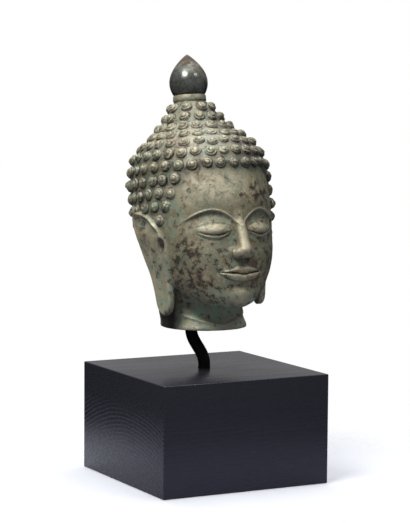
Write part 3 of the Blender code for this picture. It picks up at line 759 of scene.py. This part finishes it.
def painted_wood(finish, ring_pitch=0.0033, heart_depth=0.105):
    """Softwood under thin satin paint: the growth rings sink and show as faint bent lines."""
    made, shader, add = new_material("black_painted_wood")
    where, facing = (add("TexCoord").node.outputs[name] for name in ("Object", "Normal"))
    drift = add("TexNoise", "", where, 1 / 0.05, 2.0, 0.5)
    place = add("Mapping", "", where, (0.0, 0.01, heart_depth), (0.0, math.radians(5), 0.0),
                (0.3, 1.0, 1.0))
    rings = add("TexWave", "RINGS", place, math.tau / 20 / ring_pitch, 3.0, 2.0, 0.3,
                rings_direction="X", wave_profile="SAW").node.outputs["Fac"]
    fibres = add("Mapping", "", where, None, None, (0.05, 1.0, 1.0))
    streaks = add("MapRange", "SMOOTHSTEP", add("TexNoise", "", fibres, 1 / 0.0045, 4.0, 0.6),
                  0.42, 0.68)
    fibres = add("TexNoise", "", fibres, 1 / 0.0012, 3.0, 0.6)
    strokes = add("Mapping", "", where, None, None, (1.0, 1.0, 0.04))
    strokes = add("TexNoise", "", strokes, 1 / 0.003, 1.0, 0.5)
    dust = add("TexNoise", "", where, 1 / 0.0008, 2.0, 0.7)
    across = add("SeparateXYZ", "", facing)
    end_grain = add("MapRange", "SMOOTHSTEP", add("Math", "ABSOLUTE", across), 0.4, 0.8)
    long_grain = add("Math", "SUBTRACT", 1.0, end_grain)
    height = add("SeparateXYZ", "", where).node.outputs["Z"]
    low = add("Math", "MULTIPLY", add("MapRange", "SMOOTHSTEP", height, 0.072, 0.05),
              add("MapRange", "SMOOTHSTEP", height, 0.008, 0.028))
    late = add("Math", "MULTIPLY", add("MapRange", "SMOOTHSTEP", rings, 0.6, 1.0), low)
    late = add("Math", "MULTIPLY", late, add("Math", "MULTIPLY_ADD", end_grain, 0.9, 0.05))
    raised, dusty = linear("#4a4d5c"), linear("#5a5b62")
    skin = add("Mix", "RGBA", add("Math", "MULTIPLY", late, 0.6), tuple(finish.paint), raised)
    dust = add("MapRange", "SMOOTHSTEP", dust, 0.76, 0.82, 0.0, 0.2)
    wire(shader["Base Color"], add("Mix", "RGBA", dust, skin, dusty))
    gloss = add("Math", "MULTIPLY_ADD", late, 0.1, 0.2)
    gloss = add("Math", "MULTIPLY_ADD", streaks, 0.06, gloss)
    wire(shader["Roughness"], add("Math", "MULTIPLY_ADD", drift, 0.1, gloss))
    shader["Specular IOR Level"].default_value = 0.32
    shader["Specular Tint"].default_value = linear("#d2d8ff")
    fibres = add("Math", "MULTIPLY", add("Math", "MULTIPLY", fibres, 0.2), long_grain)
    strokes = add("Math", "MULTIPLY", add("Math", "MULTIPLY", strokes, 0.12), end_grain)
    wire(shader["Normal"], add("Bump", "", 0.2, 0.0004, None,
                               add("Math", "ADD", fibres, strokes)))
    return made


def rough_head(carving):
    """Cranium, neck, nose, ears and collar as plain solids, joined into one piece for the remesh.
    """
    bpy.ops.mesh.primitive_uv_sphere_add(segments=96, ring_count=96, radius=1.0)
    head = added("bronze_head")
    points = read_points(head.data)
    low, high = 14.0, 199.0
    level = low + (high - low) * (points[:, 2] + 1) / 2
    ring = np.hypot(points[:, 0], points[:, 1])
    fill = np.minimum(1.0, ring / 0.35) / np.maximum(ring, 1e-6)
    middle, depth = head_section(level, points[:, 1])[1:]
    along = middle + fill * depth * points[:, 1]
    half = head_section(level, along)[0]
    jaw = JAW_EDGE.z + (along - JAW_EDGE.y) * math.tan(JAW_RISE)
    write_points(head.data, np.column_stack(
        (fill * half * points[:, 0], along, np.maximum(level, jaw))))

    lean = (0, -math.sin(carving.tilt), math.cos(carving.tilt))
    bpy.ops.mesh.primitive_cylinder_add(
        vertices=64, radius=35, depth=60, rotation=(carving.tilt, 0, 0),
        location=[(NECK_CUT + 30) * part for part in lean])
    pieces = [added("neck")]
    bpy.ops.mesh.primitive_cone_add(vertices=24, radius1=8, radius2=4, depth=30,
                                    location=(0, -76, 72))
    pieces.append(added("nose"))
    bpy.ops.mesh.primitive_cylinder_add(vertices=64, radius=carving.collar, depth=12,
                                        location=(0, 0, COLLAR_TOP - 6))
    pieces.append(added("collar"))
    for side in (-1, 1):
        bpy.ops.mesh.primitive_circle_add(vertices=len(carving.outline), fill_type="NGON")
        leaf = added("ear")
        y, z = carving.outline.T
        sheet = ear_leaf(y, z) - EAR_HALF_THICKNESS
        write_points(leaf.data, np.column_stack((side * sheet, y, z)))
        thicken(leaf, (side * 2 * EAR_HALF_THICKNESS, 0, 0))
        pieces.append(leaf)
    only(head, *pieces)
    bpy.ops.object.join()
    return head


def smoothed(mesh, points, rounds):
    """Points drawn half way to the average of their neighbours, as often as asked."""
    edges = np.empty(len(mesh.edges) * 2, int)
    mesh.edges.foreach_get("vertices", edges)
    a, b = edges.reshape(-1, 2).T
    count = np.bincount(a, minlength=len(points)) + np.bincount(b, minlength=len(points))
    for _ in range(rounds):
        total = np.column_stack([np.bincount(a, points[b, k], len(points))
                                 + np.bincount(b, points[a, k], len(points)) for k in range(3)])
        points = 0.5 * points + 0.5 * total / np.maximum(count, 1)[:, None]
    return points


def hollowness(field, p, reach):
    """How sharply a field's surface turns inwards at each point, seen over the given reach."""
    around = sum(field(p + shift) + field(p - shift) for shift in np.eye(3) * reach)
    return (6 * field(p) - around) / reach ** 2


def refine(piece, wanted):
    """Cuts each face whose corners are all wanted into four."""
    only(piece)
    bpy.context.tool_settings.mesh_select_mode = (True, False, False)
    bpy.ops.object.mode_set(mode="EDIT")
    bpy.ops.mesh.select_all(action="DESELECT")
    bpy.ops.object.mode_set(mode="OBJECT")
    piece.data.vertices.foreach_set("select", wanted)
    bpy.ops.object.mode_set(mode="EDIT")
    bpy.ops.mesh.subdivide(number_cuts=1)
    bpy.ops.object.mode_set(mode="OBJECT")


def paint(mesh, name, values):
    """Value for each vertex, kept as an attribute that the material reads."""
    layer = mesh.attributes.new(name, "FLOAT", "POINT")
    layer.data.foreach_set("value", np.clip(values, 0.0, 1.0).astype(np.float32))


class BUDDHA_OT_head(bpy.types.Operator):
    """Carve the bronze head with its curls, ears, face and neck"""
    bl_idname = "buddha.head"
    bl_label = "Bronze head"

    def execute(self, context):
        sizes, stand = context.scene.buddha_head, context.scene.buddha_stand
        carving = HeadCarving(sizes, stand.collar)
        head = rough_head(carving)
        remesh = head.modifiers.new("grain", "REMESH")
        remesh.mode = "VOXEL"
        remesh.voxel_size = sizes.grain / carving.unit
        apply_all(head)

        points = settle(carving.field, read_points(head.data), 5)
        points = settle(carving.field, smoothed(head.data, points, 3), 2)
        write_points(head.data, points)
        half_width, middle, half_height, back = FACE_PART
        on_face = (np.abs(points[:, 0]) < half_width) & (points[:, 1] < back)
        on_face &= np.abs(points[:, 2] - middle) < half_height
        refine(head, (above_hairline(points) > -1.0) | on_face)
        points = settle(carving.field, read_points(head.data), 1)
        hair = above_hairline(points) > -3.0
        nearest = carving.nearest_curls(points[hair])
        points[hair] = settle(lambda p: carving.field(p, nearest), points[hair], 4)
        write_points(head.data, points)
        facets = head.modifiers.new("facets", "DECIMATE")
        facets.ratio = min(1.0, sizes.triangles / (2.0 * len(head.data.polygons)))
        apply_all(head)
        head.data.transform(carving.matrix @ Matrix.Diagonal((*[carving.unit] * 3, 1.0)))
        self.drill_socket(head, stand)
        self.mark_finish(carving, head.data)
        head.data.shade_smooth()
        finish_piece(head, "head", patinated_bronze(
            context.scene.buddha_finish, carving.curl_radius / carving.coil))
        return {"FINISHED"}

    def drill_socket(self, head, stand):
        """Round socket in the neck's underside that the rod goes into."""
        half = stand.rod / 2
        low, high = HEAD_LOW[2] - 0.01, ROD_HIGH[2] + stand.gap
        bpy.ops.mesh.primitive_cylinder_add(
            vertices=48, radius=half + stand.gap, depth=high - low,
            location=(ROD_LOW[0] + half, ROD_HIGH[1] - half, (low + high) / 2))
        cut_away(head, added("socket"))

    def mark_finish(self, carving, mesh):
        """Where the metal is green, brown, pale, pitted or darker in tone, and where shade is
        painted on it, for the material to read.
        """
        back = np.array(carving.matrix.inverted())
        points = (read_points(mesh) @ back[:3, :3].T + back[:3, 3]) / carving.unit
        x, y, z = points.T
        nearest = carving.nearest_curls(points)
        fine = hollowness(lambda p: carving.field(p, nearest, False), points, 1.1)
        broad = hollowness(carving.field, points, 5.0)
        # How far each point lies in a hollow: the material greens the hollows, paints shade in
        # them and rubs the ridges pale.
        paint(mesh, "hollow", 0.5 + 0.24 * fine + 0.9 * broad)
        front = step(-y - 20.0, 6.0)
        side = np.abs(x)
        on_ear = step(2.0 - outline_distance(points[:, 1:], carving.outline), 0.8)
        on_ear *= step(side - 41.0, 1.0)
        hair = step(above_hairline(points) - 1.0, 1.0) * (1 - on_ear)
        share = np.maximum(carving.curl_shape(points, nearest)[0], 1 - hair)
        right, up = (part / carving.curl_radius for part in carving.on_curl(points, nearest))
        cos, sin = np.cos(carving.turns[nearest]), np.sin(carving.turns[nearest])
        place = np.column_stack((right * cos - up * sin, right * sin + up * cos, share))
        layer = mesh.attributes.new("curl_place", "FLOAT_VECTOR", "POINT")
        layer.data.foreach_set("vector", place.astype(np.float32).ravel())
        # Painted shade in the hollows between the curls, and a painted shadow crescent under each
        # curl.
        shaded_valley = hair * step(share - 0.90, 0.04)
        shadow_under_curl = hair * line(share - 0.98, 0.12) * step(-up - 0.25, 0.15)
        crown = hair * swell(x, z, -14.0, 160.0, 30.0, 22.0) * step(12.0 - y, 6.0)
        edge_row = hair * line(above_hairline(points) - 5.5, 4.0) * front
        around = side_angle(points)
        turn = np.degrees(np.arctan2(side, -y))
        # Painted shadow that the ear lobes cast on the neck.
        lobe_shadow = step(34.0 - z, 3.0) * step(39.0 - side, 1.0)
        lobe_shadow *= step(turn - 67.0, 2.0) * step(108.0 - turn, 4.0)
        # Painted shade inside the ear's hollow and the slot in front of it.
        opening = step(-ear_opening(points) + 0.6, 0.4)
        # Band above the jaw's underside: browner and pitted, and painted shade in the dark
        # attribute. By the ears: pitted, and painted shade in the crease in front of each ear.
        jaw = line(under_jaw(y, z) + 7.0, 10.0) * step(-y - 26.0, 6.0) * (1 - on_ear)
        by_ear = line(around - 49.0, 9.0) * line(z - 56.0, 20.0) * (1 - on_ear)
        # Painted shade on the side of the hair turned away from the key light: darker and less
        # pale.
        shaded_far_hair = hair * step(x - 6.0, 6.0)
        low_hair = hair * step(132.0 - z, 8.0) * step(-x - 20.0, 6.0)
        # The dark attribute is mostly painted shade: between and under the curls, behind the
        # lobes, in the ear openings, along the jaw, by the ears and on the far side of the hair;
        # only the front row's darker tone is the metal's own.
        paint(mesh, "dark", (0.36 - 0.30 * crown) * shaded_valley + 0.30 * shadow_under_curl + 0.18 * edge_row
              + 1.1 * lobe_shadow + opening + 0.10 * jaw + 0.12 * by_ear + 0.42 * shaded_far_hair)
        lobes = on_ear * step(56.0 - z, 8.0)
        throat = step(26.0 - z, 5.0) * step(-y - 4.0, 6.0) * step(34.0 - side, 3.0)
        temple = line(side - 44, 9) * line(z - 96, 22) * front
        lids = swell(side, z, 20.0, 80.0, 13.0, 7.0) * front
        ear_hollow = on_ear * swell(y, z, -13.0, 90.0, 8.0, 5.0)
        paint(mesh, "green", 1.0 * throat + 0.8 * lobes + 0.4 * temple + 0.3 * lids + 0.15
              + 0.8 * ear_hollow + 0.15 * hair + 0.2 * low_hair)
        brow = line(x + 16, 26) * line(z - 113, 13) * front
        ridge = line(x, 6) * line(z - 70, 16) * step(-y - 74.0, 2.0)
        tops = hair * (1 - share ** 2) * carving.tones[nearest]
        cheek = line(x + 32, 18) * line(z - 54, 20) * front
        paint(mesh, "pale", 1.4 * brow + 0.5 * ridge + 0.42 * tops + 0.4 * crown
              + 0.7 * step(z - 184.0, 1.5) + 1.2 * lobes + 0.6 * on_ear + 0.8 * throat
              + 0.6 * low_hair + 0.35 * cheek - 0.6 * shaded_far_hair)
        far_side = line(x - 36, 20) * line(z - 72, 34) * front
        muzzle = swell(x, z, 0.0, 50.0, 20.0, 16.0) * front
        stain = swell(x, z, 15.0, 108.0, 17.0, 8.0) * front
        bulge = on_ear * swell(y, z, -13.0, 80.0, 8.0, 6.0)
        tip = on_ear * line(z - 17.0, 7.0)
        paint(mesh, "brown", 0.4 * cheek + 0.35 * jaw + 0.6 * bulge + 0.6 * tip + 0.25 * crown
              + 0.3 * far_side + 0.4 * muzzle + 0.5 * stain + 0.4 * edge_row
              - 0.6 * brow)
        paint(mesh, "pitted", 0.8 * cheek + 0.9 * jaw + 0.35 * hair + 0.7 * muzzle
              + 0.8 * far_side + stain + 0.35 * on_ear + 0.7 * by_ear + 0.3 * edge_row
              - 0.4 * brow)


class BUDDHA_OT_finial(bpy.types.Operator):
    """Turn the lotus-bud finial"""
    bl_idname = "buddha.finial"
    bl_label = "Lotus-bud finial"

    def execute(self, context):
        sizes, stand = context.scene.buddha_head, context.scene.buddha_stand
        unit, place = head_frame(sizes)
        foot = COLLAR_TOP * unit + stand.gap
        belly, base = stand.finial_belly / 2, stand.finial_foot / 2
        lip, fullness = 0.0006, 0.84
        profile = [(0.0, foot)]
        for angle in np.linspace(-math.pi / 2, 0.0, 5):
            profile.append((base - lip + lip * math.cos(angle),
                            foot + lip + lip * math.sin(angle)))
        for share in np.linspace(0.08, 1.0, 14):
            drawn = 1 - (1 - share) ** 2
            profile.append((base + (belly - base) * drawn, foot + stand.belly_height * share))
        for share in np.linspace(0.97, 0.02, 34):
            swelling = math.sin(share * math.pi / 2) ** fullness
            drop = (stand.finial_height - stand.belly_height) * share
            profile.append((belly * swelling, foot + stand.finial_height - drop))
        profile.append((0.0, foot + stand.finial_height))
        bpy.ops.mesh.primitive_circle_add(vertices=len(profile), radius=0.01)
        bud = added("lotus_bud_finial")
        write_points(bud.data, [(radius, 0.0, height) for radius, height in profile])
        round_z = {"steps": 112, "angle": math.tau, "center": (0, 0, 0), "axis": (0, 0, 1)}
        edit_whole(bud, (bpy.ops.mesh.spin, round_z),
                   (bpy.ops.mesh.remove_doubles, {"threshold": WELD}),
                   (bpy.ops.mesh.delete_loose, {}))
        bud.data.transform(place)
        only(bud)
        bpy.ops.object.shade_smooth_by_angle(angle=math.radians(50))
        finish_piece(bud, "finial", dark_bronze(
            context.scene.buddha_finish, FINIAL_LOW[2] + stand.belly_height))
        return {"FINISHED"}


class BUDDHA_OT_rod(bpy.types.Operator):
    """Bend the steel rod from the block up into the neck"""
    bl_idname = "buddha.rod"
    bl_label = "Bent steel rod"

    def execute(self, context):
        stand = context.scene.buddha_stand
        half = stand.rod / 2
        shift = Vector((ROD_LOW[0] + half, ROD_HIGH[1] - half, 0.0))
        low = BLOCK_HIGH[2] + stand.rod_straight
        high = HEAD_LOW[2] - stand.rod_straight
        bpy.ops.curve.primitive_bezier_curve_add()
        rod = bpy.context.object
        path = rod.data
        path.dimensions = "3D"
        path.bevel_depth = half
        path.bevel_resolution = 10
        path.resolution_u = 24
        path.use_fill_caps = True
        points = path.splines[0].bezier_points
        points.add(2)
        reach = (high - low) * 0.42
        stops = ((0.0, ROD_LOW[2]), (0.0, low), (1.0, high), (1.0, ROD_HIGH[2]))
        for point, (share, z) in zip(points, stops):
            point.handle_left_type = point.handle_right_type = "FREE"
            point.co = shift * share + Vector((0, 0, z))
            point.handle_left = point.co - Vector((0, 0, reach))
            point.handle_right = point.co + Vector((0, 0, reach))
        only(rod)
        bpy.ops.object.convert(target="MESH")
        rod = added("steel_rod")
        edit_whole(rod, (bpy.ops.mesh.remove_doubles, {"threshold": WELD}))
        bpy.ops.object.shade_smooth_by_angle(angle=math.radians(40))
        finish_piece(rod, "rod", blackened_steel(context.scene.buddha_finish))
        return {"FINISHED"}


class BUDDHA_OT_block(bpy.types.Operator):
    """Saw, ease and drill the wooden block"""
    bl_idname = "buddha.block"
    bl_label = "Wooden block"

    def execute(self, context):
        stand = context.scene.buddha_stand
        size = Vector(BLOCK_HIGH) - Vector(BLOCK_LOW)
        middle = (Vector(BLOCK_HIGH) + Vector(BLOCK_LOW)) / 2
        bpy.ops.mesh.primitive_cube_add(size=1.0, location=middle, scale=size)
        block = added("wooden_block")
        eased = {"offset": stand.eased_edge, "segments": 4, "profile": 0.5}
        edit_whole(block, (bpy.ops.mesh.bevel, eased))
        depth = BLOCK_HIGH[2] - ROD_LOW[2] + stand.gap
        bpy.ops.mesh.primitive_cylinder_add(
            vertices=64, radius=stand.rod / 2 + stand.gap, depth=2 * depth,
            location=(0.0, 0.0, BLOCK_HIGH[2]))
        cut_away(block, added("drill"))
        only(block)
        bpy.ops.object.shade_smooth_by_angle(angle=math.radians(35))
        finish_piece(block, "block", painted_wood(context.scene.buddha_finish))
        return {"FINISHED"}


class BUDDHA_OT_stage(bpy.types.Operator):
    """Set the floor, the lights and the camera"""
    bl_idname = "buddha.stage"
    bl_label = "Studio"

    def execute(self, context):
        self.sweep(context.scene.buddha_finish)
        self.lights()
        self.camera()
        return {"FINISHED"}

    def sweep(self, finish):
        """Round sheet of pale paper that fades out at its edge."""
        bpy.ops.mesh.primitive_circle_add(vertices=96, radius=FLOOR_RADIUS, fill_type="NGON")
        floor = added("studio_floor")
        thicken(floor, (0, 0, -0.001))
        made, shader, add = new_material("matte_studio_paper")
        where = add("TexCoord").node.outputs["Object"]
        fleck = add("TexNoise", "", where, 1 / 0.4, 2.0, 0.5)
        wire(shader["Base Color"], add("Mix", "RGBA", add("Math", "MULTIPLY", fleck, 0.1),
                                       tuple(finish.floor), linear("#cccdd5")))
        shader["Roughness"].default_value = 0.85
        from_middle = add("VectorMath", "LENGTH", where)
        wire(shader["Alpha"], add("MapRange", "SMOOTHSTEP", from_middle, *FLOOR_FADE, 0.0, 0.5))
        floor.data.materials.append(made)

    def lights(self):
        """Key from the upper left, a smaller lamp from the right, a broad one over the table."""
        head = (0.0, 0.0, 0.24)
        for name, place, target, side, power in (
                ("key", (-0.76, -0.4, 1.36), head, 0.55, 24.0),
                ("side", (0.48, -0.79, 1.29), head, 0.22, 4.0),
                ("table", (0.15, 0.35, 1.9), (0.0, 0.1, 0.0), 1.5, 44.0)):
            bpy.ops.object.light_add(type="AREA", location=place)
            lamp = bpy.context.object
            lamp.name = name
            lamp.data.size = side
            lamp.data.energy = power
            aim = Vector(target) - Vector(place)
            lamp.rotation_euler = aim.to_track_quat("-Z", "Y").to_euler()
        self.room()

    def room(self):
        """Pale room that the bronze and the paint reflect; the camera sees plain white."""
        world = bpy.data.worlds.new("pale_room")
        bpy.context.scene.world = world
        world.use_nodes = True
        world.node_tree.nodes.clear()
        add = functools.partial(add_node, world.node_tree)
        where = add("TexCoord").node.outputs["Generated"]
        x, y, z = add("SeparateXYZ", "", where).node.outputs
        low = add("Mix", "RGBA", add("MapRange", "SMOOTHSTEP", y, 0.2, -0.6),
                  linear("#131829"), linear("#80828c"))
        room = add("Mix", "RGBA", add("MapRange", "SMOOTHSTEP", z, -0.05, 0.5), low,
                   linear("#94969c"))
        behind = add("MapRange", "SMOOTHSTEP", z, -0.03, 0.04)
        for way, start, end in ((y, 0.2, 0.7), (z, 0.55, 0.3), (x, 0.05, 0.35)):
            behind = add("Math", "MULTIPLY", behind,
                         add("MapRange", "SMOOTHSTEP", way, start, end))
        dim = add("Background", "", add("Mix", "RGBA", behind, room, linear("#b4b4b4")), 0.85)
        white = add("Background", "", (1, 1, 1, 1), 1.0)
        add("OutputWorld", "", add("MixShader", "", add("LightPath"), dim, white))

    def camera(self):
        """Camera at the photograph's place: seen from the figure's right and a little above."""
        azimuth, elevation, roll = (math.radians(a) for a in CAMERA_TURN)
        away = Vector((math.sin(azimuth) * math.cos(elevation),
                       -math.cos(azimuth) * math.cos(elevation), math.sin(elevation)))
        level = Vector((math.cos(azimuth), math.sin(azimuth), 0.0))
        upward = away.cross(level)
        right = level * math.cos(roll) + upward * math.sin(roll)
        up = upward * math.cos(roll) - level * math.sin(roll)
        view = bpy.data.cameras.new("photo_camera")
        view.lens = CAMERA_LENS
        lens = bpy.data.objects.new("photo_camera", view)
        bpy.context.scene.collection.objects.link(lens)
        turn = Matrix((right, up, away)).transposed().to_4x4()
        lens.matrix_world = Matrix.Translation(CAMERA_PLACE) @ turn
        bpy.context.scene.camera = lens
        bpy.context.scene.view_settings.view_transform = "Standard"


class BUDDHA_PT_panel(bpy.types.Panel):
    """Sidebar panel with the sizes, the colours and a button for each piece"""
    bl_idname = "BUDDHA_PT_panel"
    bl_label = "Buddha Head"
    bl_space_type = "VIEW_3D"
    bl_region_type = "UI"
    bl_category = "Buddha Head"

    def draw(self, context):
        for group in (context.scene.buddha_head, context.scene.buddha_stand,
                      context.scene.buddha_finish):
            box = self.layout.box()
            for name in group.bl_rna.properties.keys():
                if name not in ("rna_type", "name"):
                    box.prop(group, name)
        for piece in OPERATORS:
            self.layout.operator(piece.bl_idname)


GROUPS = {"buddha_head": BUDDHA_PG_head, "buddha_stand": BUDDHA_PG_stand,
          "buddha_finish": BUDDHA_PG_finish}
OPERATORS = (BUDDHA_OT_head, BUDDHA_OT_finial, BUDDHA_OT_rod, BUDDHA_OT_block, BUDDHA_OT_stage)


def register():
    for kind in (*GROUPS.values(), *OPERATORS, BUDDHA_PT_panel):
        bpy.utils.register_class(kind)
    for name, kind in GROUPS.items():
        setattr(bpy.types.Scene, name, PointerProperty(type=kind))


def unregister():
    for name in GROUPS:
        delattr(bpy.types.Scene, name)
    for kind in (BUDDHA_PT_panel, *OPERATORS, *GROUPS.values()):
        bpy.utils.unregister_class(kind)


def main():
    """Makes every piece in order."""
    register()
    for piece in OPERATORS:
        group, name = piece.bl_idname.split(".")
        getattr(getattr(bpy.ops, group), name)()


if __name__ == "__main__":
    main()
